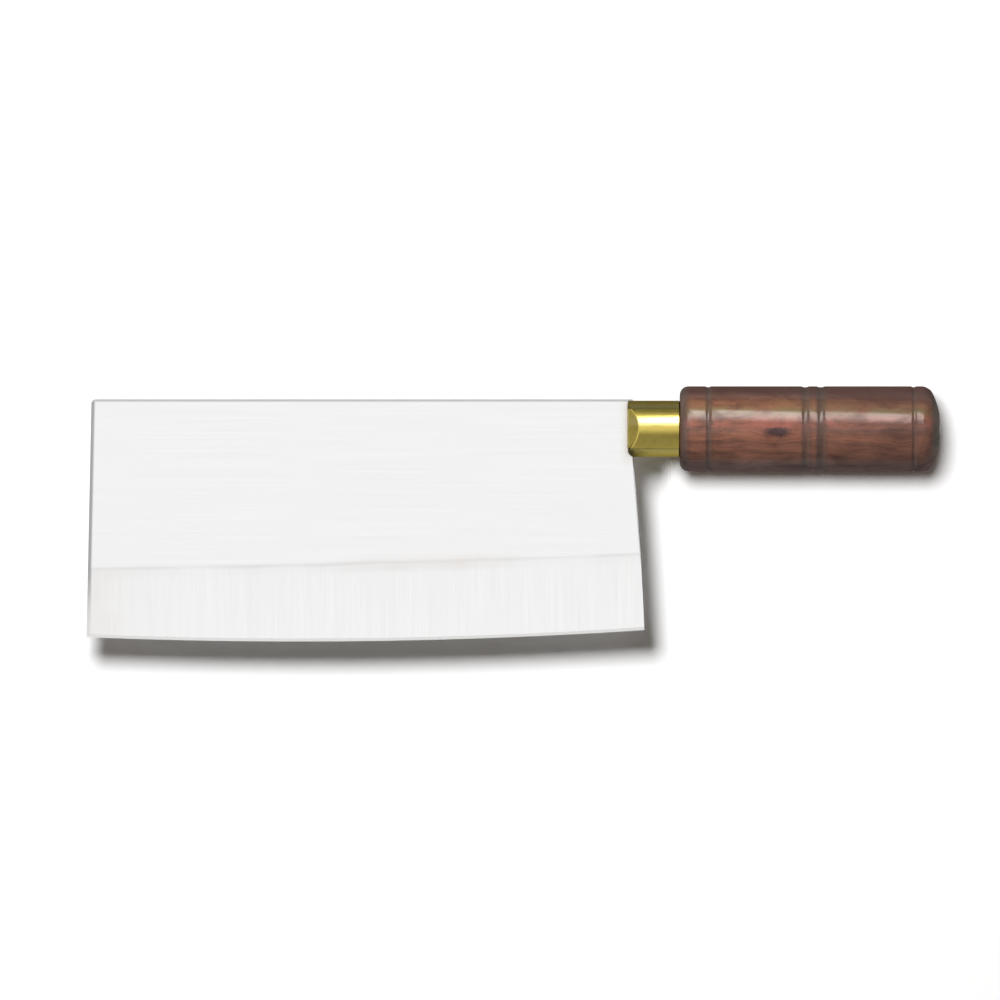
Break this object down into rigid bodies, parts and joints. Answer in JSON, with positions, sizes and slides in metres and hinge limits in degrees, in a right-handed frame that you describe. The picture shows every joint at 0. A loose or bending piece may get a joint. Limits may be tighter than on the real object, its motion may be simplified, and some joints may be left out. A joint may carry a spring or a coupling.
{
  "type": "chinese cleaver",
  "caption": "Chinese cleaver with a broad, thin, gently bellied steel blade, a brass bolster with a bevelled nose and a turned cylindrical wooden handle with burnt ring grooves.",
  "frame": {"origin": "middle of the grip, on the axis of the round handle and in the blade's mid-plane", "axes": "+X along the handle towards the butt, +Y towards the spine, +Z out of the blade's upper cheek as it lies flat"},
  "size_m": [0.3111, 0.093, 0.031],
  "materials": {
    "blade_steel": "fine satin ground, with a softer long grind below",
    "bolster_brass": "polished",
    "handle_wood": "dark reddish hardwood under a satin lacquer, with burnt ring grooves",
    "tang_steel": "turned",
    "tang_resin": "set resin",
    "washer_brass": "satin"
  },
  "bodies": {
    "root": {"blade": "blade_steel", "bolster": "bolster_brass", "handle": "handle_wood", "tang_rod": "tang_steel", "tang_cement": "tang_resin", "tang_washer": "washer_brass"}
  },
  "joints": []
}
